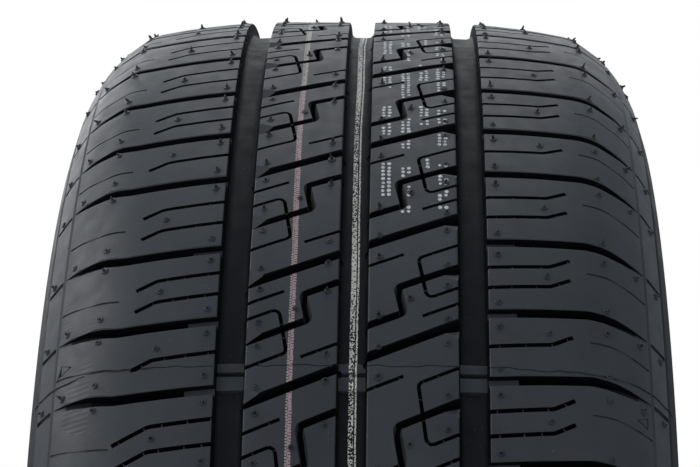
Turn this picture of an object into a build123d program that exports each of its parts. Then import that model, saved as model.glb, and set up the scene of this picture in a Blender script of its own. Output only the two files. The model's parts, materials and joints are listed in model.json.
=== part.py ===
from build123d import *
from math import asin, atan, atan2, cos, degrees, pi, radians, sin, sqrt, tan
import os

# A tubeless radial car tyre, moulded in one piece. Millimetres and degrees.
# The axle is the Y axis, the wheel centre is the origin and Z is up.

# Overall size
outer_diameter = 526.0
section_width = 201.0
bead_seat_diameter = 329.4
bead_spacing = 152.4

# Crown, shoulder and sidewall form, as half a section
crown_half_flat = 25.0
crown_radius = 250.0
shoulder_inset = 27.0
shoulder_corner_radius = 17.0
widest_drop = 44.0
flange_curve_radius = 15.0
bead_face_height = 8.0
heel_radius = 6.0
toe_chamfer = 2.0

# Wall thicknesses and the inside of the beads
under_tread = 9.0
sidewall_thickness = 8.0
bead_thickness = 18.0
inner_bead_face_height = 10.0
inner_bead_curve_radius = 14.0

# Three main grooves round the tread, with wear bars across their floors
tread_depth = 5.8
main_groove_width = 9.2
main_groove_spacing = 36.4
main_groove_draft = 6.0
wear_bar_count = 6
wear_bar_height = 1.6
wear_bar_length = 10.0
wear_bar_angle = 27.8

# The grooves across the tread are unevenly pitched, which spreads their noise. Long, medium and
# short pitches follow in a sequence that repeats round the tyre, and the short ones share the rest.
tread_repeats = 4
rib_sequence = "MMSLSSSSM"
rib_long_pitch = 12.0
rib_medium_pitch = 10.45
shoulder_sequence = "MSLMSMSMSLSMSLL"
shoulder_long_pitch = 6.97
shoulder_medium_pitch = 6.12

# Grooves across the two inner ribs: straight slashes, and a Z between each pair of slashes
first_slash_angle = 58.8
slant_angle = 24.1
slash_width = 2.8
slash_depth = 5.4
zigzag_width = 2.2
zigzag_depth = 5.0
zigzag_outer_place = 0.505
zigzag_inner_place = 0.262
zigzag_outer_run = 18.4
zigzag_inner_run = 10.8
zigzag_bend_radius = 1.4

# Grooves across the shoulders. Each has a raised tie bar at the main groove, bends at the
# shoulder corner and runs out on the sidewall.
right_shoulder_angle = 57.05
left_shoulder_angle = 56.35
lateral_width = 3.2
lateral_depth = 5.0
lateral_rise = 2.5
lateral_bend_inset = 2.0
lateral_fall = 2.1
lateral_bend_radius = 12.0
lateral_end_inset = 10.5
tie_bar_length = 9.0
tie_bar_depth = 2.8
tie_bar_slope = 1.0

# How far a cutting outline starts above the tread and runs past an edge
overcut = 1.0

outer_radius = outer_diameter / 2
bead_seat_radius = bead_seat_diameter / 2
half_width = section_width / 2
heel_place = bead_spacing / 2
widest_radius = outer_radius - widest_drop

# Shoulder corner and upper sidewall are two arcs that meet in one tangent
corner_place = half_width - shoulder_inset
crown_turn = asin((corner_place - crown_half_flat) / crown_radius)
corner_centre = corner_place - shoulder_corner_radius * sin(crown_turn)
corner_centre_radius = (
    outer_radius - crown_radius + (crown_radius - shoulder_corner_radius) * cos(crown_turn)
)
reach = half_width - corner_centre
climb = corner_centre_radius - widest_radius
upper_side_radius = (reach**2 + climb**2 - shoulder_corner_radius**2) / (
    2 * (reach - shoulder_corner_radius)
)
upper_side_centre = half_width - upper_side_radius
corner_end_turn = atan2(corner_centre - upper_side_centre, climb)
corner_end_place = upper_side_centre + upper_side_radius * sin(corner_end_turn)

# The lower sidewall is an S of two arcs from the widest point to the bead
side_step = half_width - heel_place
side_height = widest_radius - bead_seat_radius - bead_face_height
side_turn = degrees(2 * atan(side_step / side_height))
lower_side_radius = (side_step**2 + side_height**2) / (2 * side_step) - flange_curve_radius

# The inside is a like S, a quarter arc under the shoulder and a straight crown
inner_crown_radius = outer_radius - tread_depth - under_tread
inner_half_width = half_width - sidewall_thickness
inner_bead_place = heel_place - bead_thickness
inner_bead_top = bead_seat_radius + toe_chamfer + inner_bead_face_height
inner_step = inner_half_width - inner_bead_place
inner_height = widest_radius - inner_bead_top
inner_turn = degrees(2 * atan(inner_step / inner_height))
inner_side_radius = (inner_step**2 + inner_height**2) / (2 * inner_step) - inner_bead_curve_radius

# Edges of the ribs and shoulders, and the millimetres along the tread in one degree
rib_inner_edge = main_groove_width / 2
rib_outer_edge = main_groove_spacing - main_groove_width / 2
shoulder_edge = main_groove_spacing + main_groove_width / 2
lateral_end = half_width - lateral_end_inset
degree_length = outer_radius * pi / 180
slant = tan(radians(slant_angle))

# The section is drawn with x along the axle and y outwards from it
section_plane = Plane(origin=(0, 0, 0), x_dir=(0, 1, 0), z_dir=(0, 0, -1))


def tread_plane(angle, radius=outer_radius + overcut):
    """Plane across the tread: x along the axle, y round the tyre, z outwards."""
    outwards = Vector(cos(radians(angle)), 0, sin(radians(angle)))
    return Plane(origin=outwards * radius, x_dir=(0, 1, 0), z_dir=outwards)


def surface_radius(place):
    """Radius of the tread surface at a distance from the middle plane."""
    if place <= crown_half_flat:
        return outer_radius
    if place <= corner_place:
        return outer_radius - crown_radius + sqrt(crown_radius**2 - (place - crown_half_flat) ** 2)
    if place <= corner_end_place:
        return corner_centre_radius + sqrt(shoulder_corner_radius**2 - (place - corner_centre) ** 2)
    return widest_radius + sqrt(upper_side_radius**2 - (place - upper_side_centre) ** 2)


# One sector is made and turned round the axle. It runs from angle 0 downwards, and the grooves
# within a spare turn past each of its ends are cut as well. Four runs of a sequence, the first
# from above the sector, reach past both ends.
sector_turn = 360 / tread_repeats
spare_pitches = 1.5 if tread_repeats > 1 else 0
spare_turn = spare_pitches * rib_long_pitch
sequence_runs = 4


def pitch_lengths(sequence, long_pitch, medium_pitch):
    """Pitches of a sequence in degrees. The short ones fill up the sector."""
    rest = sector_turn - sequence.count("L") * long_pitch - sequence.count("M") * medium_pitch
    lengths = {"L": long_pitch, "M": medium_pitch, "S": rest / sequence.count("S")}
    return [lengths[letter] for letter in sequence]


def groove_places(first_angle, pitches):
    """Angle of each groove that reaches the sector, with the pitch below it."""
    angle = first_angle % sector_turn + sector_turn
    places = []
    for pitch in sequence_runs * pitches:
        places.append((angle, pitch))
        angle -= pitch
    return [place for place in places if -sector_turn - spare_turn < place[0] <= spare_turn]


rib_pitches = pitch_lengths(rib_sequence, rib_long_pitch, rib_medium_pitch)
slashes = groove_places(first_slash_angle, rib_pitches)
shoulder_pitches = pitch_lengths(shoulder_sequence, shoulder_long_pitch, shoulder_medium_pitch)

# Cutting solids for the shoulder grooves: bands through the tread, kept only above the groove floor
with BuildPart() as lateral_cutters:
    bend_place = corner_place - lateral_bend_inset
    band = [
        (shoulder_edge - overcut, 0),
        (bend_place, lateral_rise),
        (lateral_end + 2 * overcut, lateral_rise - lateral_fall),
    ]
    for side, first_angle in ((1, right_shoulder_angle), (-1, left_shoulder_angle)):
        laterals = groove_places(first_angle, shoulder_pitches)
        with BuildSketch(*[tread_plane(angle) for angle, _ in laterals]):
            with BuildLine():
                FilletPolyline([(side * x, side * y) for x, y in band], radius=lateral_bend_radius)
            trace(line_width=lateral_width)
    extrude(amount=surface_radius(lateral_end) - outer_radius - 2 * overcut)
    tie_bar_end = shoulder_edge + tie_bar_length
    run_out_start = surface_radius(corner_place) - lateral_depth
    run_out_slope = (surface_radius(lateral_end) - run_out_start) / (lateral_end - corner_place)
    floor_end = lateral_end + 2 * overcut
    floor = [
        (main_groove_spacing, surface_radius(main_groove_spacing) - tie_bar_depth),
        (tie_bar_end, surface_radius(tie_bar_end) - tie_bar_depth),
        (tie_bar_end + tie_bar_slope, surface_radius(tie_bar_end) - lateral_depth),
        (corner_place, run_out_start),
        (floor_end, run_out_start + run_out_slope * (floor_end - corner_place)),
    ]
    above = outer_radius + 2 * overcut
    with BuildSketch(section_plane):
        with BuildLine():
            Polyline(*floor, (floor_end, above), (main_groove_spacing, above), close=True)
        make_face()
        mirror(about=Plane.YZ)
    revolve(axis=Axis.Y, mode=Mode.INTERSECT)

with BuildPart() as sector:
    # Half the section, from the crown round the bead and back along the inside
    with BuildSketch(section_plane):
        with BuildLine():
            crown = Line((0, outer_radius), (crown_half_flat, outer_radius))
            tread_arc = JernArc(crown @ 1, crown % 1, crown_radius, -degrees(crown_turn))
            corner_turn = degrees(corner_end_turn - crown_turn)
            corner = JernArc(tread_arc @ 1, tread_arc % 1, shoulder_corner_radius, -corner_turn)
            upper_side = JernArc(corner @ 1, corner % 1, upper_side_radius, degrees(corner_end_turn) - 90)
            lower_side = JernArc(upper_side @ 1, (0, -1), lower_side_radius, -side_turn)
            flange_curve = JernArc(lower_side @ 1, lower_side % 1, flange_curve_radius, side_turn)
            bead_face = Line(flange_curve @ 1, (heel_place, bead_seat_radius + heel_radius))
            heel = JernArc(bead_face @ 1, (0, -1), heel_radius, -90)
            seat = Line(heel @ 1, (inner_bead_place + toe_chamfer, bead_seat_radius))
            toe = Line(seat @ 1, (inner_bead_place, bead_seat_radius + toe_chamfer))
            inner_face = Line(toe @ 1, (inner_bead_place, inner_bead_top))
            inner_curve = JernArc(inner_face @ 1, (0, 1), inner_bead_curve_radius, -inner_turn)
            inner_side = JernArc(inner_curve @ 1, inner_curve % 1, inner_side_radius, inner_turn)
            inner_corner = JernArc(inner_side @ 1, (0, 1), inner_crown_radius - widest_radius, 90)
            Polyline(inner_corner @ 1, (0, inner_crown_radius), crown @ 0)
        make_face()
        mirror(about=Plane.YZ)
    revolve(axis=Axis.Y, revolution_arc=sector_turn)

    # Main grooves
    with BuildSketch(section_plane):
        for place in (-main_groove_spacing, 0, main_groove_spacing):
            top = surface_radius(abs(place))
            lip = main_groove_width / 2 + overcut * tan(radians(main_groove_draft))
            foot = main_groove_width / 2 - tread_depth * tan(radians(main_groove_draft))
            with BuildLine():
                Polyline(
                    (place - lip, top + overcut),
                    (place + lip, top + overcut),
                    (place + foot, top - tread_depth),
                    (place - foot, top - tread_depth),
                    close=True,
                )
            make_face()
    revolve(axis=Axis.Y, mode=Mode.SUBTRACT)

    # Shoulder grooves
    add(lateral_cutters.part, mode=Mode.SUBTRACT)

    # Slashes across both inner ribs, on one line through the middle groove
    for side in (-1, 1):
        ends = [side * (rib_inner_edge - overcut), side * (rib_outer_edge + overcut)]
        middle = side * (rib_inner_edge + rib_outer_edge) / 2
        turn = slant * middle / degree_length
        with BuildSketch(*[tread_plane(angle + turn) for angle, _ in slashes]):
            with BuildLine():
                Line(*[(x, slant * (x - middle)) for x in ends])
            trace(line_width=slash_width)
    extrude(amount=-slash_depth - overcut, mode=Mode.SUBTRACT)

    # Z grooves between the slashes, the right rib turned half round from the left one
    rib_middle = (rib_inner_edge + rib_outer_edge) / 2
    middle_place = (zigzag_outer_place + zigzag_inner_place) / 2
    for pitch in sorted(set(rib_pitches)):
        angles = [angle for angle, length in slashes if length == pitch]
        outer_y = (middle_place - zigzag_outer_place) * pitch * degree_length
        inner_y = (middle_place - zigzag_inner_place) * pitch * degree_length
        route = [
            (-rib_outer_edge - overcut, outer_y),
            (-rib_outer_edge + zigzag_outer_run, outer_y),
            (-rib_inner_edge - zigzag_inner_run, inner_y),
            (-rib_inner_edge + overcut, inner_y),
        ]
        for side in (-1, 1):
            place = middle_place if side < 0 else 1 - middle_place
            turn = side * slant * rib_middle / degree_length - place * pitch
            with BuildSketch(*[tread_plane(angle + turn) for angle in angles]):
                with BuildLine():
                    points = [(-side * x, -side * (y + slant * (x + rib_middle))) for x, y in route]
                    FilletPolyline(points, radius=zigzag_bend_radius)
                trace(line_width=zigzag_width)
    extrude(amount=-zigzag_depth - overcut, mode=Mode.SUBTRACT)

# The sectors meet face to face all round
turned = [sector.part.solid().rotate(Axis.Y, index * sector_turn) for index in range(tread_repeats)]
ring = turned[0].fuse(*turned[1:], glue=True) if tread_repeats > 1 else turned[0]

with BuildPart() as tyre:
    add(ring)

    # Wear bars across the main grooves
    bar_step = 360 / wear_bar_count
    bar_angles = [wear_bar_angle + index * bar_step for index in range(wear_bar_count)]
    floor_radius = surface_radius(main_groove_spacing) - tread_depth
    with BuildSketch(*[tread_plane(angle, floor_radius - overcut) for angle in bar_angles]):
        with Locations((-main_groove_spacing, 0), (0, 0), (main_groove_spacing, 0)):
            Rectangle(main_groove_width, wear_bar_length)
    extrude(amount=overcut + wear_bar_height, clean=False)

tyre.part.label = "tyre"
os.makedirs("parts", exist_ok=True)
export_step(tyre.part, "parts/tyre.step")
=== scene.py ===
"""A car tyre with its moulded tread in full: grooves, sipes, vent spews and paint marks."""
import json
import random
from functools import partial
from math import asin, atan, atan2, copysign, cos, pi, radians, sin, sqrt, tan

import bmesh
import bpy
import numpy as np
from mathutils import Matrix, Vector
from mathutils.bvhtree import BVHTree


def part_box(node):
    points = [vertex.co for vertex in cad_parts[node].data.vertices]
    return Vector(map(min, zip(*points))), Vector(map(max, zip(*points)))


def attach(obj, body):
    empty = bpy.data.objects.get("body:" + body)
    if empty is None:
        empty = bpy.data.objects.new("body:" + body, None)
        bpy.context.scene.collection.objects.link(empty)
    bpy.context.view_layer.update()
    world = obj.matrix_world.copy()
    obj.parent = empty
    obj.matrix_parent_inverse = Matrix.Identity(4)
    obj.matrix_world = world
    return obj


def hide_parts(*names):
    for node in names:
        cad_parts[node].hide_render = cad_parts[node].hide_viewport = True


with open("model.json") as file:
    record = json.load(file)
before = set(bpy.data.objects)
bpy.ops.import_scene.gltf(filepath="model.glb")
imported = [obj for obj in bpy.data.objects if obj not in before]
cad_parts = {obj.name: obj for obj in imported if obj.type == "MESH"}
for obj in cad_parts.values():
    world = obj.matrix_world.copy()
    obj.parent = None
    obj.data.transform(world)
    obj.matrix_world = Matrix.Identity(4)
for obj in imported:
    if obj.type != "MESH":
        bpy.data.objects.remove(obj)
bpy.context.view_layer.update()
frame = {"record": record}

# Lengths are millimetres and angles degrees until a mesh is made.
# A place is a distance along the axle (+Y), and an angle turns from +X towards +Z.
MM = 0.001
low_corner, high_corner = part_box("tyre")
rim_seat = frame["record"]["mounts"][0]["dims"]
outer_radius = high_corner.z / MM
half_width = high_corner.y / MM
degree_length = outer_radius * pi / 180

# Section of the solid
crown_half_flat = 25.0
crown_radius = 250.0
shoulder_inset = 27.0
shoulder_corner_radius = 17.0
widest_drop = 44.0
flange_curve_radius = 15.0
bead_face_height = 8.0
heel_radius = 6.0
toe_chamfer = 2.0
tread_depth = 5.8
under_tread = 9.0
sidewall_thickness = 8.0
bead_thickness = 18.0
inner_bead_face_height = 10.0
inner_bead_curve_radius = 14.0
corner_place = half_width - shoulder_inset
widest_radius = outer_radius - widest_drop
bead_seat_radius = rim_seat["r_mm"]
heel_place = rim_seat["length_mm"] / 2 + heel_radius
inner_crown_radius = outer_radius - tread_depth - under_tread
inner_half_width = half_width - sidewall_thickness
inner_bead_place = heel_place - bead_thickness
inner_bead_top = bead_seat_radius + toe_chamfer + inner_bead_face_height

# Moulded rings of the sidewall as (radius, width, lift), with sloping edges of this width
sidewall_rings = ((211.0, 1.2, -0.8), (190.0, 4.0, 1.3), (182.0, 1.0, 0.8))
sidewall_ring_edge = 0.4

# Main grooves, the wear bars on their floors and the mould seams beside these
main_groove_width = 9.2
main_groove_spacing = 36.4
main_groove_draft = tan(radians(6))
main_groove_lip_radius = 0.5
main_groove_foot_radius = 2.4
bar_count = 6
first_bar_angle = 28.0
bar_length = 10.0
bar_height = 1.6
bar_parting = (0.5, 1.2)
bar_angles = [first_bar_angle + 360 / bar_count * index for index in range(bar_count)]
seam_lead = 0.35
seam_reach = 98.0
seam_depth = 0.5
seam_width = 0.35
outer_seam_width = 0.95
outer_seam_place = 60.0
seam_angles = [angle + seam_lead for angle in bar_angles]

# Pitches of the grooves across the tread: long, medium and short ones in a sequence that repeats
tread_repeats = 4
first_slash_angle = 58.8
rib_sequence = "MMSLSSSSM"
rib_long_pitch = 12.0
rib_medium_pitch = 10.45
shoulder_angles = {1: 57.05, -1: 56.35}
shoulder_sequence = "MSLMSMSMSLSMSLL"
shoulder_long_pitch = 6.97
shoulder_medium_pitch = 6.12

# How far a cutting shape starts above the tread, how far it runs into a main groove, and the
# greatest distance between its points on slashes, other straight stretches, bends and fine lines
overcut = 1.0
groove_overrun = 1.5
sipe_overrun = 0.8
slash_spacing = 6.0
point_spacing = 7.0
bend_spacing = 3.2
fine_spacing = 3.0

# Grooves of the two inner ribs. Corners are (place, share of the pitch below the slash) on the left
# rib, and the right rib has them turned half round.
slant = tan(radians(24.1))
rib_inner_edge = main_groove_width / 2
rib_outer_edge = main_groove_spacing - main_groove_width / 2
slash_width = 2.8
slash_depth = 5.4
slash_flare = 0.4
zigzag_width = 2.2
zigzag_depth = 5.0
zigzag_flare = 0.25
zigzag_bend_radius = 1.7
zigzag_outer_share = 0.505
zigzag_inner_share = 0.262
zigzag_corners = (
    (-rib_outer_edge - groove_overrun, zigzag_outer_share),
    (-13.4, zigzag_outer_share),
    (-15.3, zigzag_inner_share),
    (-rib_inner_edge + groove_overrun, zigzag_inner_share),
)
zigzag_step_places = (11.0, 18.0)
facet_length = 4.6
facet_rise = 4.0
facet_depth = 2.3

# Sipes of the ribs as (corners, space between bridges)
sipe_width = 1.15
sipe_depth = 3.5
sipe_bend_radius = 1.8
bridge_width = 0.35
bridge_drop = 0.9
rib_sipe_start = -rib_outer_edge - sipe_overrun
rib_sipes = (
    (((rib_sipe_start, 0.175), (-21.0, 0.175)), 10),
    (((rib_sipe_start, 0.315), (-22.4, 0.315), (-19.7, 0.715), (rib_sipe_start, 0.715)), 6),
    (((-15.4, 0.795), (-rib_inner_edge + sipe_overrun, 0.795)), 10),
)

# Grooves of the shoulders. Points are (place, millimetres round the tyre) on the right one, and the left
# one has them turned half round.
shoulder_edge = main_groove_spacing + main_groove_width / 2
lateral_width = 3.2
lateral_depth = 5.0
lateral_flare = 0.35
lateral_bend = (71.5, 2.5)
lateral_bend_radius = 14.0
lateral_end = half_width - 10.0
lateral_end_rise = 0.35
lateral_taper = 10.0
tie_bar_end = shoulder_edge + 9.0
tie_bar_slope = 0.6
tie_bar_depth = 2.6

# Sipes of the shoulders, with the shares of the pitch of the first and second of a pair and of a
# single one. Pitches above a limit have a pair. On the left, those of the first pitch below a seam are
# longer.
shoulder_sipe_width = 1.4
shoulder_sipe_bend = (60.0, 2.1)
shoulder_sipe_end = (66.3, 5.4)
shoulder_sipe_bend_radius = 4.0
shoulder_sipe_shares = {1: (0.365, 0.65, 0.5), -1: (0.35, 0.64, 0.47)}
paired_pitch = 6.0
long_sipe_end = (70.6, 7.8)
below_seam_angle = 5.0

# Fine lines and marks of the shoulders, with their (width, depth)
band_line_place = 90.5
band_edge_place = 96.5
band_mark_size = (1.7, 0.9)
fine_line_size = (0.8, 0.45)
fine_line_shares = {1: 0.33, -1: 0.668}
wear_mark_size = (0.42, 0.35)
wear_mark_place = 87.0
wear_mark_corners = ((1.7, 1.9), (-1.7, -0.2), (1.6, -1.8))
wear_mark_lifts = {1: -2.52, -1: 1.27}

# Patches of fine tool marks on the left outer shoulder
hatch_middle = -84.0
hatch_width = 11.0
hatch_spacing = 1.8

# Vent spews of the left rib as (place, share of the pitch), and of the right shoulder as (place,
# millimetres from a groove). One more stands in the middle of each shoulder block.
rib_spews = (
    (-28.5, 0.08), (-28.5, 0.37), (-28.5, 0.57), (-28.5, 0.9),
    (-7.8, 0.05), (-7.8, 0.31), (-7.8, 0.85), (-17.3, 0.37),
)
shoulder_spews = ((44, -4.5), (44, 4.5), (77, -3.6), (77, 5.0), (87.5, -3.0), (94.5, -2.6))
middle_spew = (59.0, 1.8)
spew_sides = 8

# Painted lines as (middle, width), and bars of stamped dots as (place, first angle, number)
rib_line = (-18.05, 1.15)
rib_line_edge = (-18.95, 0.55)
groove_band = (-0.1, 1.6)
groove_line = (1.3, 0.55)
paint_bead_spacing = 1.0
pink_end_angle = 57.5
dot_radius = 0.72
dot_spacing = 1.9
dot_sides = 8
dot_row_angles = (75.0, 68.0, 61.0, 54.0, 47.0)
dot_columns = ((8.6, 0, 10), (14.8, -0.9, 12), (20.8, 0.5, 8), (26.6, -0.5, 12))
dot_bars = [
    (place, first_angle + shift, count)
    for first_angle in dot_row_angles
    for place, shift, count in dot_columns
]
pink_paint = (0.42, 0.28, 0.30)
pale_paint = (0.40, 0.35, 0.31)
cream_paint = (0.93, 0.90, 0.82)
white_paint = (0.70, 0.71, 0.72)
dust_grey = (0.15, 0.15, 0.15)

# Material slots of the tyre: its rubber, then darker copies as painted shade in groove floors, in groove
# walls and cuts, and on the sidewall
TREAD, FLOOR_SHADE, CUT_SHADE, SIDE_SHADE = range(4)

# Painted shade of the floor of a shoulder groove where it runs out, darker with depth, as (depth limit,
# slot)
run_out_painted_shade = ((1.2, TREAD), (2.8, FLOOR_SHADE), (tread_depth, CUT_SHADE))

# Shading eases into the shoulder corner between these places, over this reach, and is even past the limit
ease_places = (52.0, 89.5)
ease_reach = 11.0
ease_limit = 83.0

# Steps of the ring round the axle, and the seeded dice for what is uneven
ring_steps = 112
dice = random.Random(7)

# Spot that the lights face, in metres, the colour of the room's light, and its strengths low down at
# the back and elsewhere
light_target = (0.1, 0, 0.1)
room_tint = (0.91, 0.98, 1.09, 1)
room_strengths = (0.04, 0.33)


def pitch_places(first_angle, sequence, long_pitch, medium_pitch):
    """Angle of each groove round the tyre, with the pitch below it. Short pitches fill the sequence."""
    rest = 360 / tread_repeats - sequence.count("L") * long_pitch - sequence.count("M") * medium_pitch
    lengths = {"L": long_pitch, "M": medium_pitch, "S": rest / sequence.count("S")}
    places = []
    for letter in tread_repeats * sequence:
        places.append((first_angle, lengths[letter]))
        first_angle -= lengths[letter]
    return places


rib_pitches = pitch_places(first_slash_angle, rib_sequence, rib_long_pitch, rib_medium_pitch)
shoulder_pitches = {
    side: pitch_places(first_angle, shoulder_sequence, shoulder_long_pitch, shoulder_medium_pitch)
    for side, first_angle in shoulder_angles.items()
}

# Form of the tread surface, the same arcs as the solid
crown_turn = asin((corner_place - crown_half_flat) / crown_radius)
corner_centre = corner_place - shoulder_corner_radius * sin(crown_turn)
corner_centre_radius = (
    outer_radius - crown_radius + (crown_radius - shoulder_corner_radius) * cos(crown_turn)
)
reach = half_width - corner_centre
climb = corner_centre_radius - widest_radius
upper_side_radius = (reach**2 + climb**2 - shoulder_corner_radius**2) / (
    2 * (reach - shoulder_corner_radius)
)
upper_side_centre = half_width - upper_side_radius
corner_end_turn = atan2(corner_centre - upper_side_centre, climb)
corner_end_place = upper_side_centre + upper_side_radius * sin(corner_end_turn)


def surface(place):
    """Radius of the tread at a place, and how far its normal leans outwards, in radians."""
    distance = abs(place)
    if distance <= crown_half_flat:
        return outer_radius, 0.0
    if distance <= corner_place:
        lean = asin((distance - crown_half_flat) / crown_radius)
        return outer_radius - crown_radius * (1 - cos(lean)), lean
    if distance <= corner_end_place:
        lean = asin((distance - corner_centre) / shoulder_corner_radius)
        return corner_centre_radius + shoulder_corner_radius * cos(lean), lean
    lean = asin(min(1.0, (distance - upper_side_centre) / upper_side_radius))
    return widest_radius + upper_side_radius * cos(lean), lean


def tread_axes(place, angle):
    """Point on the tread with its normal and the two directions along the surface."""
    radius, lean = surface(place)
    side = 1 if place >= 0 else -1
    outwards = Vector((cos(radians(angle)), 0, sin(radians(angle))))
    axle = Vector((0, side, 0))
    point = outwards * radius + Vector((0, place, 0))
    normal = outwards * cos(lean) + axle * sin(lean)
    across = (axle * cos(lean) - outwards * sin(lean)) * side
    onward = Vector((-sin(radians(angle)), 0, cos(radians(angle))))
    return point, normal, across, onward


def rounded(points, radius, steps=5):
    """The line with its inner corners rounded. Radius is one number, or one for each point."""
    points = [Vector(point) for point in points]
    radii = radius if isinstance(radius, (list, tuple)) else [radius] * len(points)
    line = [points[0]]
    for before, corner, after, size in zip(points, points[1:], points[2:], radii[1:]):
        back = (before - corner).normalized()
        ahead = (after - corner).normalized()
        half = back.angle(ahead) / 2
        if not size or half > radians(89):
            line.append(corner)
            continue
        centre = corner + (back + ahead).normalized() * (size / sin(half))
        start = corner + back * (size / tan(half)) - centre
        end = corner + ahead * (size / tan(half)) - centre
        line += [centre + start.slerp(end, step / steps) * size for step in range(steps + 1)]
    return line + [points[-1]]


def spaced(line, step):
    """The line with points added so that none lie further apart than the step."""
    points = [line[0]]
    for start, end in zip(line, line[1:]):
        count = max(1, round((end - start).length / step))
        points += [start.lerp(end, index / count) for index in range(1, count + 1)]
    return points


def thinned(line, step):
    """The line without the points that neither bend it nor part stretches longer than the step."""
    kept = [line[0]]
    for before, point, after in zip(line, line[1:], line[2:]):
        bend = (point - before).angle(after - point)
        if bend > radians(2) or (point - kept[-1]).length > step:
            kept.append(point)
    return kept + [line[-1]]


class Shell:
    """Points and faces gathered for one mesh."""

    def __init__(self):
        self.points = []
        self.faces = []

    def add(self, points, faces):
        first = len(self.points)
        self.points += points
        self.faces += [[first + index for index in face] for face in faces]

    def add_loft(self, rings):
        """A closed skin over rings of equally many points, with a flat cap at each end."""
        count = len(rings[0])
        last = (len(rings) - 1) * count
        faces = [list(range(count))[::-1], list(range(last, last + count))]
        for ring in range(len(rings) - 1):
            for index in range(count):
                near = ring * count + index
                beside = ring * count + (index + 1) % count
                faces.append([near, beside, beside + count, near + count])
        self.add([point for ring in rings for point in ring], faces)

    def to_object(self, name, materials, material_index=0):
        mesh = bpy.data.meshes.new(name)
        mesh.from_pydata([point * MM for point in self.points], [], self.faces)
        bm = bmesh.new()
        bm.from_mesh(mesh)
        bmesh.ops.recalc_face_normals(bm, faces=bm.faces)
        bm.to_mesh(mesh)
        bm.free()
        for material in materials:
            mesh.materials.append(material)
        mesh.polygons.foreach_set("material_index", [material_index] * len(mesh.polygons))
        piece = bpy.data.objects.new(name, mesh)
        bpy.context.scene.collection.objects.link(piece)
        return piece


def groove_outline(width, depth, flare):
    """Cross-section of a groove as (offset, height) pairs, with its edges flared at the surface."""
    flare = min(flare, depth / 3)
    edge = width / 2
    foot = max(edge * 0.3, edge - depth * 0.06)
    right = [(edge + flare, overcut), (edge + flare, 0), (edge, -flare), (foot, -depth)]
    if not flare:
        right = [(edge, overcut), (foot, -depth)]
    return right + [(-offset, height) for offset, height in reversed(right)]


def add_channel(shell, route, width, depth, flare=0.0):
    """A cutting shape along a route of (place, angle). Width and depth may be functions of the place."""
    frames = [tread_axes(place, angle) for place, angle in route]
    rings = []
    for index, (point, normal, _, _) in enumerate(frames):
        before = frames[max(index - 1, 0)][0]
        after = frames[min(index + 1, len(frames) - 1)][0]
        sideways = normal.cross(after - before).normalized()
        place = route[index][0]
        size = width(abs(place)) if callable(width) else width
        deep = depth(abs(place)) if callable(depth) else depth
        outline = groove_outline(size, deep, flare)
        rings.append([point + sideways * offset + normal * height for offset, height in outline])
    shell.add_loft(rings)


def on_rib(line, side, slash_angle, pitch):
    """Puts a line of the left rib, in millimetres from its upper slash, on the rib of that side."""
    if side < 0:
        return [(x, slash_angle + y / degree_length) for x, y in line]
    return [(-x, slash_angle - pitch - y / degree_length) for x, y in line]


def on_shoulder(line, side, angle):
    """Puts a line of the right shoulder, in millimetres from an angle, on the shoulder of that side."""
    return [(side * x, angle + side * y / degree_length) for x, y in line]


def leaning(points, pitch):
    """Points of a rib given as (place, share of the pitch), as millimetres with the slant."""
    return [Vector((x, slant * x - share * pitch * degree_length)) for x, share in points]


# Section of the tyre

def arc(centre, radius, start, end, steps):
    """Points of an arc in the section. Angles are in radians, from the axle direction outwards."""
    angles = [start + (end - start) * step / steps for step in range(steps + 1)]
    return [Vector((centre[0] + radius * cos(a), centre[1] + radius * sin(a))) for a in angles]


def tread_half():
    """Half the tread from the middle of the centre groove to the band line on the shoulder."""
    foot = main_groove_width / 2 - tread_depth * main_groove_draft
    floor = outer_radius - tread_depth
    side_floor = surface(main_groove_spacing)[0] - tread_depth
    lip, deep = main_groove_lip_radius, main_groove_foot_radius
    bend_place = 28.5
    corners = [
        ((0, floor), 0),
        ((foot, floor), deep),
        ((rib_inner_edge, outer_radius), lip),
        ((crown_half_flat, outer_radius), 0),
        ((bend_place, surface(bend_place)[0]), 0),
        ((rib_outer_edge, surface(rib_outer_edge)[0]), lip),
        ((main_groove_spacing - foot, side_floor), deep),
        ((main_groove_spacing + foot, side_floor), deep),
        ((shoulder_edge, surface(shoulder_edge)[0]), lip),
    ]
    steps = 4
    for step in range(1, steps + 1):
        place = shoulder_edge + (corner_place - shoulder_edge) * step / steps
        corners.append(((place, surface(place)[0]), 0))
    return rounded([point for point, _ in corners], [size for _, size in corners], steps=3)


def shoulder_half():
    """Shoulder corner and upper sidewall, with the two fine lines that edge its outer band."""
    steps = 5
    turn = corner_end_turn - crown_turn
    places = [
        corner_centre + shoulder_corner_radius * sin(crown_turn + turn * step / steps)
        for step in range(1, steps + 1)
    ]
    turn = pi / 2 - corner_end_turn
    places += [
        upper_side_centre + upper_side_radius * sin(corner_end_turn + turn * step / steps)
        for step in range(1, steps)
    ]
    depths = {place: 0.0 for place in places}
    for place, width, depth in ((band_line_place, 0.9, 0.45), (band_edge_place, 0.9, 0.6)):
        for near in [near for near in depths if abs(near - place) < width]:
            del depths[near]
        depths.update({place - width / 2: 0.0, place: depth, place + width / 2: 0.0})
    points = []
    for place in sorted(depths):
        radius, lean = surface(place)
        points.append(Vector((place, radius)) - Vector((sin(lean), cos(lean))) * depths[place])
    return points


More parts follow.
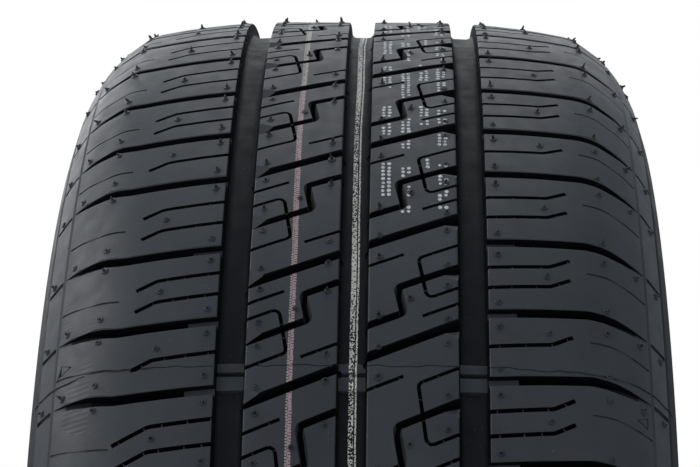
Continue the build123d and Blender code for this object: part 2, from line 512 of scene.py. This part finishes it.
def sidewall_half():
    """Sidewall from its widest point to the bead, with moulded rings, and back along the inside."""
    step = half_width - heel_place
    height = widest_radius - bead_seat_radius - bead_face_height
    turn = 2 * atan(step / height)
    radius = (step**2 + height**2) / (2 * step) - flange_curve_radius
    centre = half_width - radius
    lowest = widest_radius - radius * sin(turn)
    heights = {widest_radius - radius * sin(turn * index / 6): 0.0 for index in range(7)}
    for ring, width, lift in sidewall_rings:
        for near in [near for near in heights if abs(near - ring) < width and near > lowest]:
            del heights[near]
        edge = width / 2
        heights.update({ring + edge: lift, ring - edge: lift})
        edge += sidewall_ring_edge
        heights.update({ring + edge: 0.0, ring - edge: 0.0})
    points = []
    for place in sorted(heights, reverse=True):
        lean = asin((widest_radius - place) / radius)
        normal = Vector((cos(lean), -sin(lean)))
        points.append(Vector((centre, widest_radius)) + normal * (radius + heights[place]))
    end = Vector((centre, widest_radius)) + Vector((cos(turn), -sin(turn))) * radius
    flange_centre = end + Vector((cos(turn), -sin(turn))) * flange_curve_radius
    points += arc(flange_centre, flange_curve_radius, pi - turn, pi, 3)[1:]
    heel_centre = (heel_place - heel_radius, bead_seat_radius + heel_radius)
    points += arc(heel_centre, heel_radius, 0, -pi / 2, 3)
    points += [
        Vector((inner_bead_place + toe_chamfer, bead_seat_radius)),
        Vector((inner_bead_place, bead_seat_radius + toe_chamfer)),
    ]
    step = inner_half_width - inner_bead_place
    height = widest_radius - inner_bead_top
    turn = 2 * atan(step / height)
    radius = (step**2 + height**2) / (2 * step) - inner_bead_curve_radius
    curve_centre = (inner_bead_place + inner_bead_curve_radius, inner_bead_top)
    points += arc(curve_centre, inner_bead_curve_radius, pi, pi - turn, 3)
    points += arc((inner_half_width - radius, widest_radius), radius, -turn, 0, 5)[1:]
    corner = inner_crown_radius - widest_radius
    points += arc((inner_half_width - corner, widest_radius), corner, 0, pi / 2, 4)[1:]
    points.append(Vector((0, inner_crown_radius)))
    return points


def whole_section():
    """The closed section, from the centre groove over the right side and back over the left."""
    half = tread_half() + shoulder_half() + sidewall_half()
    left = [Vector((-point.x, point.y)) for point in reversed(half[1:-1])]
    return half + left


def eased_normal(point):
    """Normal of the tread beside a shoulder corner, eased into the corner over a few millimetres."""
    shifts = [ease_reach * step / 6 for step in range(-6, 7)]
    distance = min(abs(point.x), ease_limit)
    lean = sum(surface(distance + shift)[1] for shift in shifts) / len(shifts)
    return Vector((copysign(sin(lean), point.x), cos(lean)))


def section_normals(section):
    """Normals at the two ends of each side of the section, averaged where the sides meet gently."""
    sides = [section[(index + 1) % len(section)] - section[index] for index in range(len(section))]
    flat = [Vector((-side.y, side.x)).normalized() for side in sides]
    gentle = radians(32)
    starts, ends = [], []
    for index, normal in enumerate(flat):
        before = flat[index - 1]
        after = flat[(index + 1) % len(flat)]
        starts.append((normal + before).normalized() if normal.angle(before) < gentle else normal)
        ends.append((normal + after).normalized() if normal.angle(after) < gentle else normal)
    for index, point in enumerate(section):
        on_tread = abs(point.y - surface(point.x)[0]) < 0.01
        if on_tread and ease_places[0] < abs(point.x) < ease_places[1]:
            starts[index] = ends[index - 1] = eased_normal(point)
    return starts, ends


def material_slot(start, end):
    """Material of a side of the section: the tread, or painted shade on a groove floor, darker painted
    shade on a groove wall, or painted shade on the sidewall and inside.
    """
    middle = (start + end) / 2
    depth = surface(middle.x)[0] - middle.y
    # The sidewall and inside take a darker rubber, a painted shade
    if middle.y < surface(band_edge_place)[0] or depth > tread_depth + 1:
        return SIDE_SHADE
    if depth < 0.35 or abs(middle.x) > shoulder_edge:
        return TREAD
    return FLOOR_SHADE if abs(end.x - start.x) > abs(end.y - start.y) else CUT_SHADE


def make_ring(section, materials):
    """The tyre turned from its section. Each face keeps the number of its side, from 1."""
    count = len(section)
    shell = Shell()
    for step in range(ring_steps):
        turn = 2 * pi * step / ring_steps
        shell.points += [Vector((p.y * cos(turn), p.x, p.y * sin(turn))) for p in section]
    for step in range(ring_steps):
        here, there = step * count, (step + 1) % ring_steps * count
        for index in range(count):
            onward = (index + 1) % count
            shell.faces.append([here + index, here + onward, there + onward, there + index])
    piece = shell.to_object("tyre_rubber", materials)
    sides = piece.data.attributes.new("section_side", "INT", "FACE")
    sides.data.foreach_set("value", list(range(1, count + 1)) * ring_steps)
    slots = [material_slot(start, end) for start, end in zip(section, section[1:] + section[:1])]
    piece.data.polygons.foreach_set("material_index", slots * ring_steps)
    return piece


# Shapes cut from the tread

def rib_grooves():
    """Slashes across both inner ribs."""
    shell = Shell()
    reaches = (rib_inner_edge - groove_overrun, rib_outer_edge + groove_overrun)
    for slash_angle, _ in rib_pitches:
        for side in (-1, 1):
            ends = [Vector((side * x, side * slant * x)) for x in reaches]
            route = [(x, slash_angle + y / degree_length) for x, y in spaced(ends, slash_spacing)]
            add_channel(shell, route, slash_width, slash_depth, slash_flare)
    return shell


def rib_zigzags():
    """Z grooves between the slashes."""
    shell = Shell()
    for slash_angle, pitch in rib_pitches:
        line = spaced(rounded(leaning(zigzag_corners, pitch), zigzag_bend_radius, 3), point_spacing)
        for side in (-1, 1):
            route = on_rib(line, side, slash_angle, pitch)
            add_channel(shell, route, zigzag_width, zigzag_depth, zigzag_flare)
    return shell


def bridged(line, spacing):
    """Pieces of a line between the small rubber bridges that cross a sipe."""
    points = spaced(line, bridge_width)
    pieces = [[points[0]]]
    travelled = dice.uniform(0, spacing)
    for start, end in zip(points, points[1:]):
        travelled += (end - start).length
        if travelled > spacing and len(pieces[-1]) > 3:
            pieces.append([end])
            travelled = dice.uniform(-0.3, 0.3) * spacing
        else:
            pieces[-1].append(end)
    return [thinned(piece, point_spacing) for piece in pieces if len(piece) > 2]


def sipe_lines():
    """Fine cuts as (line, width, space between bridges, function that puts the line on the tread)."""
    for slash_angle, pitch in rib_pitches:
        for corners, spacing in rib_sipes:
            line = rounded(leaning(corners, pitch), sipe_bend_radius, 3)
            for side in (-1, 1):
                placed = partial(on_rib, side=side, slash_angle=slash_angle, pitch=pitch)
                yield line, sipe_width, spacing, placed
    for side, pitches in shoulder_pitches.items():
        first, second, single = shoulder_sipe_shares[side]
        for angle, pitch in pitches:
            below_seam = any(0 < (seam - angle) % 360 < below_seam_angle for seam in seam_angles)
            end = long_sipe_end if side < 0 and below_seam else shoulder_sipe_end
            corners = [(shoulder_edge - sipe_overrun, 0), shoulder_sipe_bend, end]
            line = rounded(corners, shoulder_sipe_bend_radius, 2)
            for share, spacing in ((first, 7), (second, 6)) if pitch > paired_pitch else ((single, 7),):
                placed = partial(on_shoulder, side=side, angle=angle - share * pitch)
                yield line, shoulder_sipe_width, spacing, placed


def sipe_mouths():
    """Upper part of the fine cuts, down to the tops of their bridges."""
    shell = Shell()
    for line, width, _, placed in sipe_lines():
        add_channel(shell, placed(spaced(line, point_spacing)), width, bridge_drop)
    return shell


def sipe_slots():
    """Lower part of the fine cuts, parted by small bridges."""
    shell = Shell()
    for line, width, spacing, placed in sipe_lines():
        for piece in bridged(line, spacing):
            add_channel(shell, placed(piece), width + 0.1, sipe_depth)
    return shell


def shoulder_grooves():
    """Wide grooves across the shoulders. A tie bar raises the floor beside the main groove."""
    def depth(place):
        if place < tie_bar_end + 0.1:
            return tie_bar_depth
        return max(0.15, lateral_depth * min(1.0, (lateral_end - place) / (lateral_end - corner_place)))

    def width(place):
        return lateral_width * min(1.0, 0.3 + 0.7 * (lateral_end - place) / lateral_taper)

    bend = Vector(lateral_bend)
    start = Vector((shoulder_edge - groove_overrun, 0))
    bar_end = start.lerp(bend, (tie_bar_end - start.x) / (bend.x - start.x))
    past_bar = start.lerp(bend, (tie_bar_end + tie_bar_slope - start.x) / (bend.x - start.x))
    end = Vector((lateral_end - 0.3, lateral_end_rise))
    curve = rounded([past_bar, bend, end], lateral_bend_radius, 4)
    line = [start, bar_end, *spaced(curve[:2], point_spacing), *spaced(curve[1:], bend_spacing)[1:]]
    shell = Shell()
    for side, pitches in shoulder_pitches.items():
        for angle, _ in pitches:
            add_channel(shell, on_shoulder(line, side, angle), width, depth, lateral_flare)
    return shell


def fine_lines():
    """Shallow mould lines of the shoulders and the marks on their outer band."""
    shell = Shell()
    for side, pitches in shoulder_pitches.items():
        for angle, pitch in pitches:
            line = rounded([(71.5, 0), (80, -0.5), (lateral_end - 0.6, -2.8)], 20, 3)
            route = on_shoulder(spaced(line, fine_spacing), side, angle - fine_line_shares[side] * pitch)
            add_channel(shell, route, *fine_line_size)
            line = [(band_line_place + 0.6, 0.4), (93.5, 0.35), (band_edge_place - 0.5, 0.3)]
            add_channel(shell, on_shoulder(line, side, angle), *band_mark_size)
    return shell


def wear_marks():
    """A small triangle on each shoulder beside every row of wear bars."""
    shell = Shell()
    corners = [(wear_mark_place + x, y / degree_length) for x, y in wear_mark_corners]
    for angle in seam_angles:
        for side, lift in wear_mark_lifts.items():
            for ends in zip(corners, corners[1:] + corners[:1]):
                route = [(side * place, angle + lift + rise) for place, rise in ends]
                add_channel(shell, route, *wear_mark_size)
    return shell


def seams():
    """Lines across the whole tread where the parts of the mould met."""
    def width(place):
        return seam_width if place < outer_seam_place else outer_seam_width

    shell = Shell()
    for angle in seam_angles:
        line = spaced([Vector((-seam_reach, 0)), Vector((seam_reach, 0))], fine_spacing)
        wave = [0.25 * sin(0.31 * x) + 0.2 * sin(0.83 * x + 1) for x, _ in line]
        route = [(x, angle + rise / degree_length) for (x, _), rise in zip(line, wave)]
        add_channel(shell, route, width, seam_depth)
    return shell


def corner_facets():
    """Facets on the sharp block corners where slashes and Z grooves meet the outer main grooves."""
    along, up, deep, spare = facet_length, facet_rise, facet_depth, 1.0
    low = deep * (1 + spare / along + spare / up)
    spots = [
        (-spare, up * (1 + spare / along), 0.0),
        (along * (1 + spare / up), -spare, 0.0),
        (-spare, -spare, -low),
        (-spare, -spare, overcut),
    ]
    shell = Shell()
    for slash_angle, pitch in rib_pitches:
        for share, width in ((0, slash_width), (zigzag_outer_share, zigzag_width)):
            rise = width / 2 * sqrt(1 + slant**2) + 0.2
            corner = leaning([(-rib_outer_edge, share)], pitch)[0] + Vector((0, rise))
            for side in (-1, 1):
                points = []
                for x, y, height in spots:
                    spot = corner + Vector((x, x * slant + y))
                    place, angle = on_rib([spot], side, slash_angle, pitch)[0]
                    point, normal, _, _ = tread_axes(place, angle)
                    points.append(point + normal * (height + 0.02))
                shell.add(points, [[0, 1, 2], [0, 3, 1], [1, 3, 2], [2, 3, 0]])
    return shell


def wear_bars():
    """Low bars across the floors of the main grooves, each parted by the mould seam."""
    shell = Shell()
    reach_out = main_groove_width / 2 - 0.1
    for angle in bar_angles:
        for place in (-main_groove_spacing, 0, main_groove_spacing):
            point, normal, across, onward = tread_axes(place, angle)
            floor = point - normal * tread_depth
            for start, end in ((-bar_length / 2, bar_parting[0]), (bar_parting[1], bar_length / 2)):
                corners = [(start, -1), (start + 0.4, bar_height), (end - 0.4, bar_height), (end, -1)]
                outline = rounded(corners, 0.5, 3)
                rings = [
                    [floor + across * offset + onward * x + normal * y for x, y in outline]
                    for offset in (-reach_out, reach_out)
                ]
                shell.add_loft(rings)
    return shell


def carve(piece, shell, slot, operation="DIFFERENCE"):
    """Cuts the gathered shapes from a piece, or joins them to it. The new faces take that slot."""
    tool = shell.to_object("tool", piece.data.materials, material_index=slot)
    modifier = piece.modifiers.new("carve", "BOOLEAN")
    modifier.operation = operation
    modifier.solver = "MANIFOLD"
    modifier.object = tool
    depsgraph = bpy.context.evaluated_depsgraph_get()
    shaped = piece.evaluated_get(depsgraph)
    mesh = bpy.data.meshes.new_from_object(shaped, preserve_all_data_layers=True, depsgraph=depsgraph)
    piece.modifiers.remove(modifier)
    uncut, piece.data = piece.data, mesh
    bpy.data.meshes.remove(uncut)
    bpy.data.meshes.remove(tool.data)


def grade_painted_cut_shade(piece):
    """Takes the painted shade of the cuts off bridges, tie bars, groove edges and the steps of Z grooves,
    and grades it by depth on the floors where shoulder grooves run out.
    """
    for face in piece.data.polygons:
        if face.material_index != CUT_SHADE:
            continue
        centre = face.center / MM
        place = abs(centre.y)
        radius, lean = surface(place)
        outwards = Vector((centre.x, 0, centre.z))
        depth = (radius - outwards.length) * cos(lean)
        normal = outwards.normalized() * cos(lean) + Vector((0, copysign(sin(lean), centre.y), 0))
        faces_out = face.normal.dot(normal) >= 0.5
        in_step = zigzag_step_places[0] < place < zigzag_step_places[1] and abs(face.normal.y) > 0.75
        on_bar = shoulder_edge - 1 < place < tie_bar_end and abs(depth - tie_bar_depth) < 0.3
        on_edge = place > shoulder_edge - 1 and depth < 0.3
        on_bridge = abs(depth - bridge_drop) < 0.1
        if faces_out and place > corner_place:
            face.material_index = next(slot for limit, slot in run_out_painted_shade if depth < limit)
        elif faces_out and (on_bar or on_edge or on_bridge) or in_step and not faces_out:
            face.material_index = TREAD


def shade(piece, section):
    """Gives the turned faces the exact normals of the section, and leaves the cut faces flat."""
    mesh = piece.data
    starts, ends = (np.array(normals) for normals in section_normals(section))
    corners = np.array(section)
    onward = np.roll(corners, -1, axis=0)
    sides = np.zeros(len(mesh.polygons), int)
    mesh.attributes["section_side"].data.foreach_get("value", sides)
    turned = sides > 0
    sizes = np.zeros(len(mesh.polygons), int)
    mesh.polygons.foreach_get("loop_total", sizes)
    loops = np.zeros(len(mesh.loops), int)
    mesh.loops.foreach_get("vertex_index", loops)
    points = np.zeros(len(mesh.vertices) * 3)
    mesh.vertices.foreach_get("co", points)
    points = points.reshape(-1, 3)[loops] / MM
    owner = np.repeat(np.arange(len(sizes)), sizes)
    side = np.maximum(sides[owner] - 1, 0)
    radius = np.hypot(points[:, 0], points[:, 2])
    flat = np.stack([points[:, 1], radius], axis=1)
    along = onward[side] - corners[side]
    share = ((flat - corners[side]) * along).sum(1) / (along**2).sum(1)
    share = np.clip(share, 0, 1)[:, None]
    normal = starts[side] * (1 - share) + ends[side] * share
    outwards = normal[:, [1]] * points[:, [0, 2]] / radius[:, None]
    normals = np.stack([outwards[:, 0], normal[:, 0], outwards[:, 1]], axis=1)
    normals[~turned[owner]] = 0
    mesh.polygons.foreach_set("use_smooth", turned)
    mesh.normals_split_custom_set(normals)


# Vent spews

def add_spew(shell, place, angle, room):
    """What is left of a vent spew: a low ring round a bent nib. Room is the height that it may take."""
    point, normal, across, onward = tread_axes(place, angle)
    turn = dice.uniform(0, 2 * pi)
    tallest = 2.6 if abs(place) < 10 else 2.2
    height = min(room, dice.triangular(0.2, tallest, tallest / 2))
    lean = dice.uniform(0.05, 0.45) * min(height, 1.4)
    base = dice.uniform(0.45, 0.62)
    rim = base + dice.uniform(0.4, 0.6)
    lift = min(room, 0.32)

    def ring(radius, lift, drift=0.0):
        centre = point + normal * lift + (across * cos(turn) + onward * sin(turn)) * drift
        spokes = [2 * pi * index / spew_sides for index in range(spew_sides)]
        return [centre + (across * cos(a) + onward * sin(a)) * radius for a in spokes]

    rings = [
        ring(rim + 0.12, -0.3),
        ring(rim, lift),
        ring(rim - 0.2, lift),
        ring(base, min(0.05, height / 2)),
        ring(base * 0.85, height * 0.5, lean * 0.3),
        ring(base * 0.55, height * 0.85, lean * 0.8),
        ring(base * 0.15, height, lean),
    ]
    shell.add_loft(rings)


def spew_room(place, angle):
    """Height over the tread that is still inside the box of the solid."""
    radius, lean = surface(place)
    steepest = max(abs(cos(radians(angle))), abs(sin(radians(angle))))
    upward = (outer_radius / steepest - radius) / max(cos(lean), 0.2)
    sideways = (half_width - abs(place)) / max(sin(lean), 0.05)
    return min(upward, sideways)


def make_spews(materials):
    """Vent spews of the ribs and shoulders, where the box of the solid leaves them room."""
    spots = []
    for slash_angle, pitch in rib_pitches:
        for spot in rib_spews:
            for side in (-1, 1):
                spots += on_rib(leaning([spot], pitch), side, slash_angle, pitch)
    for side, pitches in shoulder_pitches.items():
        for angle, pitch in pitches:
            share = 0.5 if pitch > paired_pitch else 0.31
            spots += on_shoulder(shoulder_spews, side, angle)
            spots += on_shoulder([middle_spew], side, angle - share * pitch)
    shell = Shell()
    for place, angle in spots:
        room = spew_room(place, angle) - 0.3
        if room > 0.2:
            add_spew(shell, place, angle, room)
    piece = shell.to_object("vent_spews", materials)
    faces = piece.data.polygons
    # Rings take the first material; the nibs and their tips take the second, a painted shade
    ring_and_nib = [0, 1] + [0] * 3 * spew_sides + [1] * 3 * spew_sides
    faces.foreach_set("material_index", ring_and_nib * (len(faces) // len(ring_and_nib)))
    faces.foreach_set("use_smooth", [True] * len(faces))
    return piece


# Stamped dots

def make_dots(tyre, materials):
    """Bars of pale stamped dots on the right rib, only where a dot lies whole on the tread."""
    tree = BVHTree.FromObject(tyre, bpy.context.evaluated_depsgraph_get())
    spokes = [2 * pi * step / dot_sides for step in range(dot_sides)]
    shell = Shell()
    for place, first_angle, count in dot_bars:
        for index in range(count):
            for column in (0, dot_spacing):
                size = dot_radius * dice.uniform(0.75, 1.1)
                angle = first_angle - (index * dot_spacing + dice.uniform(-0.2, 0.2)) / degree_length
                spot = place + column + dice.uniform(-0.15, 0.15)
                point, normal, across, onward = tread_axes(spot, angle)
                rim = [across * cos(a) * 0.9 + onward * sin(a) for a in spokes]
                probes = [(point + spoke * size * 1.3 + normal) * MM for spoke in rim]
                hits = [tree.ray_cast(probe, -normal, 1.2 * MM)[0] for probe in probes]
                if None in hits:
                    continue
                rings = [
                    [point + spoke * size * share + normal * lift for spoke in rim]
                    for share, lift in ((1.0, -0.2), (1.0, 0.02), (0.7, 0.06))
                ]
                shell.add_loft(rings)
    return shell.to_object("stamped_dots", materials)


# Materials

class Nodes:
    """Shorthand for adding and linking the shader nodes of a material or world."""

    def __init__(self, owner):
        owner.use_nodes = True
        self.tree = owner.node_tree
        self.shader = self.tree.nodes.get("Principled BSDF")

    def add(self, kind, inputs=(), **settings):
        node = self.tree.nodes.new("ShaderNode" + kind)
        for name, value in settings.items():
            setattr(node, name, value)
        for key, value in dict(inputs).items():
            if isinstance(value, bpy.types.NodeSocket):
                self.tree.links.new(value, node.inputs[key])
            else:
                node.inputs[key].default_value = value
        return node

    def math(self, operation, *values):
        return self.add("Math", dict(enumerate(values)), operation=operation).outputs[0]

    def noise(self, place, scale, detail, **inputs):
        settings = {"Vector": place, "Scale": scale, "Detail": detail, **inputs}
        return self.add("TexNoise", settings).outputs[0]

    def ramp(self, value, low, high, start=0.0, end=1.0):
        return self.add("MapRange", {0: value, 1: low, 2: high, 3: start, 4: end}).outputs[0]

    def mix(self, share, first, second):
        colours = [(*colour, 1) if isinstance(colour, tuple) else colour for colour in (first, second)]
        return self.add("Mix", {0: share, 6: colours[0], 7: colours[1]}, data_type="RGBA").outputs[2]

    def link(self, socket, name):
        self.tree.links.new(socket, self.shader.inputs[name])


def rubber(name, dark, light, roughness, specular=0.5, sheen=0.0, painted=False):
    """Moulded rubber: fine grain, faint clouds of bloom, specks of dust and uneven gloss."""
    material = bpy.data.materials.new(name)
    nodes = Nodes(material)
    place = nodes.add("TexCoord").outputs["Object"]
    clouds = nodes.noise(place, 45.0, 6.0, Roughness=0.65)
    grain = nodes.noise(place, 1300.0, 4.0)
    streaks = nodes.noise(place, 160.0, 5.0)
    dust = nodes.noise(place, 900.0, 1.0)
    colour = nodes.mix(nodes.ramp(clouds, 0.3, 0.7), dark, light)
    colour = nodes.mix(nodes.ramp(dust, 0.75, 0.8, end=0.4), colour, dust_grey)
    if painted:
        colour = add_paint(nodes, colour, place)
    nodes.link(colour, "Base Color")
    nodes.link(nodes.ramp(streaks, 0.3, 0.7, roughness - 0.08, roughness + 0.08), "Roughness")
    height = nodes.math("MULTIPLY_ADD", add_hatch(nodes, place), 0.5, grain)
    bump = nodes.add("Bump", {"Strength": 0.2, "Distance": 0.00025, "Height": height}).outputs[0]
    nodes.link(bump, "Normal")
    nodes.shader.inputs["Specular IOR Level"].default_value = specular
    nodes.shader.inputs["Sheen Weight"].default_value = sheen
    nodes.shader.inputs["Sheen Roughness"].default_value = 0.4
    return material


def add_hatch(nodes, place):
    """Height of the fine tool marks in patches of the left outer shoulder."""
    x, y, z = nodes.add("SeparateXYZ", {0: place}).outputs
    patches = nodes.noise(place, 35.0, 1.0)
    offset = nodes.math("ABSOLUTE", nodes.math("SUBTRACT", y, hatch_middle * MM))
    inside = nodes.math("LESS_THAN", offset, hatch_width / 2 * MM)
    shown = nodes.math("MULTIPLY", inside, nodes.math("GREATER_THAN", patches, 0.5))
    turn = nodes.math("ARCTAN2", z, x)
    waves = nodes.math("SINE", nodes.math("MULTIPLY", turn, 2 * pi * outer_radius / hatch_spacing))
    return nodes.math("MULTIPLY", waves, shown)


def add_paint(nodes, colour, place):
    """Colour of the tread with its painted lines, on the left rib and in the centre groove."""
    x, y, z = nodes.add("SeparateXYZ", {0: place}).outputs
    squares = nodes.math("ADD", nodes.math("MULTIPLY", x, x), nodes.math("MULTIPLY", z, z))
    radius = nodes.math("SQRT", squares)
    speckle = nodes.noise(place, 1700.0, 1.0)
    waver = nodes.noise(place, 14.0, 2.0)
    drift = nodes.math("MULTIPLY_ADD", waver, 0.0012, -0.0006)
    ragged = nodes.math("MULTIPLY_ADD", speckle, 0.0008, -0.0004)
    turn = nodes.math("ARCTAN2", z, x)
    beads = nodes.math("SINE", nodes.math("MULTIPLY", turn, 2 * pi * outer_radius / paint_bead_spacing))
    on_tread = nodes.math("GREATER_THAN", radius, (outer_radius - 0.5) * MM)
    on_floor = nodes.math("LESS_THAN", radius, (outer_radius - tread_depth + bar_height + 0.2) * MM)
    patchy = nodes.math("GREATER_THAN", nodes.math("MULTIPLY_ADD", waver, -0.5, speckle), 0.2)
    worn = nodes.math("GREATER_THAN", speckle, 0.4)
    knit = nodes.math("GREATER_THAN", nodes.math("MULTIPLY_ADD", speckle, 4.0, beads), 1.2)
    beaded = nodes.math("LESS_THAN", nodes.math("MULTIPLY_ADD", speckle, -3.0, beads), -1.0)

    def line(colour, paint, middle, width, where, texture):
        shifted = nodes.math("ADD", nodes.math("SUBTRACT", y, middle * MM), drift)
        offset = nodes.math("ABSOLUTE", shifted)
        inside = nodes.math("LESS_THAN", nodes.math("ADD", offset, ragged), width / 2 * MM)
        mask = nodes.math("MULTIPLY", nodes.math("MULTIPLY", inside, texture), where)
        return nodes.mix(mask, colour, paint)

    faded = nodes.math("GREATER_THAN", turn, radians(pink_end_angle))
    pink = nodes.math("MULTIPLY", nodes.math("SUBTRACT", 1.0, faded), on_tread)
    pale = nodes.math("MULTIPLY", faded, on_tread)
    colour = line(colour, pink_paint, *rib_line, pink, knit)
    colour = line(colour, pale_paint, *rib_line, pale, worn)
    colour = line(colour, pale_paint, *rib_line_edge, on_tread, beaded)
    colour = line(colour, cream_paint, *groove_band, on_floor, patchy)
    return line(colour, cream_paint, *groove_line, on_floor, worn)


def paint(name, light):
    """Chalky stamping paint, worn through in specks."""
    material = bpy.data.materials.new(name)
    nodes = Nodes(material)
    place = nodes.add("TexCoord").outputs["Object"]
    wear = nodes.ramp(nodes.noise(place, 2200.0, 2.0), 0.35, 0.5)
    worn = tuple(tone * 0.35 for tone in light)
    nodes.link(nodes.mix(wear, worn, light), "Base Color")
    nodes.shader.inputs["Roughness"].default_value = 0.7
    return material


# Stage

def add_camera():
    """Stands before the tread at the photograph's place, looking slightly up."""
    data = bpy.data.cameras.new("camera")
    data.sensor_width = 36.0
    data.lens = 137.83
    camera = bpy.data.objects.new("camera", data)
    bpy.context.scene.collection.objects.link(camera)
    place = Vector((1028.85, 12.99, 94.99)) * MM
    yaw, pitch, roll = 0.01743, 0.08673, 0.00845
    facing = Matrix(((0, 0, 1, 0), (1, 0, 0, 0), (0, 1, 0, 0), (0, 0, 0, 1)))
    turn = Matrix.Rotation(yaw, 4, "Z") @ Matrix.Rotation(pitch, 4, "Y") @ Matrix.Rotation(roll, 4, "X")
    camera.matrix_world = Matrix.Translation(place) @ turn @ facing
    bpy.context.scene.camera = camera


def add_light(name, place, target, size, power):
    """A soft panel that faces its target."""
    data = bpy.data.lights.new(name, "AREA")
    data.shape = "RECTANGLE"
    data.size, data.size_y = size
    data.energy = power
    light = bpy.data.objects.new(name, data)
    bpy.context.scene.collection.objects.link(light)
    light.location = place
    light.rotation_euler = (Vector(target) - Vector(place)).to_track_quat("-Z", "Y").to_euler()
    light.visible_camera = False


def add_floor():
    """Plain pale floor that the tyre stands on."""
    mesh = bpy.data.meshes.new("floor")
    reach = 4.0
    corners = [(x * reach, y * reach, low_corner.z) for x, y in ((-1, -1), (1, -1), (1, 1), (-1, 1))]
    mesh.from_pydata(corners, [], [(0, 1, 2, 3)])
    material = bpy.data.materials.new("pale_floor")
    nodes = Nodes(material)
    nodes.shader.inputs["Base Color"].default_value = (0.8, 0.8, 0.8, 1)
    nodes.shader.inputs["Roughness"].default_value = 0.6
    mesh.materials.append(material)
    floor = bpy.data.objects.new("floor", mesh)
    bpy.context.scene.collection.objects.link(floor)


def add_world():
    """White behind the tyre for the camera. Its light is a soft room, dim low down at the back."""
    world = bpy.data.worlds.new("studio")
    bpy.context.scene.world = world
    nodes = Nodes(world)
    seen = nodes.tree.nodes["Background"]
    seen.inputs[0].default_value = (1, 1, 1, 1)
    place = nodes.add("TexCoord").outputs["Generated"]
    x, _, z = nodes.add("SeparateXYZ", {0: place}).outputs
    lit = nodes.math("MAXIMUM", nodes.ramp(x, -0.8, -0.5), nodes.ramp(z, 0.06, 0.2))
    room = nodes.add("Background", {0: room_tint, 1: nodes.ramp(lit, 0.0, 1.0, *room_strengths)})
    by_camera = nodes.add("LightPath").outputs["Is Camera Ray"]
    mix = nodes.add("MixShader", {0: by_camera, 1: room.outputs[0], 2: seen.outputs[0]})
    nodes.tree.links.new(mix.outputs[0], nodes.tree.nodes["World Output"].inputs[0])


add_camera()
add_floor()
add_world()
for name, place, size, power in (
    ("backdrop", (-2.0, -0.3, 1.1), (2.6, 1.5), 4.9),
    ("back_strip", (-1.8, -0.2, 1.3), (2.2, 0.5), 2.6),
    ("top", (0, 0, 1.7), (0.8, 0.8), 1.1),
    ("top_back", (-0.7, 0, 1.6), (0.8, 0.8), 2.0),
    ("left_back", (-1.5, -0.85, 0.85), (0.8, 0.9), 3.7),
    ("left_high", (0, -1.3, 1.1), (1.0, 1.0), 8.6),
    ("left_front", (1.2, -0.9, 0.4), (0.8, 0.8), 2.9),
    ("right_front", (1.2, 0.9, 0.4), (0.8, 0.8), 1.5),
):
    add_light(name, place, light_target, size, power)
bpy.context.scene.view_settings.view_transform = "Standard"

# The groove, cut and side rubbers are darker, less glossy copies of the tread rubber: painted shade for
# grooves, cuts and the sidewall. The paint lines on the groove floors are real marks.
materials = [
    rubber("tread_rubber", (0.025, 0.0285, 0.034), (0.035, 0.0395, 0.047), 0.5, 0.5, 0.14, painted=True),
    rubber("groove_painted_shade_rubber", (0.007, 0.0083, 0.0105), (0.011, 0.0128, 0.016), 0.55, 0.2, painted=True),
    rubber("cut_painted_shade_rubber", (0.003, 0.0034, 0.004), (0.005, 0.0056, 0.0066), 0.7, 0.1),
    rubber("side_painted_shade_rubber", (0.012, 0.0135, 0.016), (0.018, 0.02, 0.0235), 0.5, 0.3),
]
section = whole_section()
tyre = make_ring(section, materials)
carve(tyre, wear_bars(), TREAD, "UNION")
# Grooves and sipes are cut with the darkest painted shade on their new faces
for shapes in (rib_grooves, shoulder_grooves, rib_zigzags, sipe_mouths, sipe_slots):
    carve(tyre, shapes(), CUT_SHADE)
for shapes in (corner_facets, fine_lines, wear_marks, seams):
    carve(tyre, shapes(), TREAD)
grade_painted_cut_shade(tyre)
shade(tyre, section)
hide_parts("tyre")
# The nib rubber is a far darker copy of the vent rubber: painted shade on the nibs
spews = make_spews([
    rubber("vent_rubber", (0.02, 0.0225, 0.0265), (0.034, 0.038, 0.045), 0.34),
    rubber("nib_painted_shade_rubber", (0.004, 0.0044, 0.005), (0.008, 0.0088, 0.01), 0.3),
])
dots = make_dots(tyre, [paint("white_stamp", white_paint)])
for piece in (tyre, spews, dots):
    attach(piece, "root")
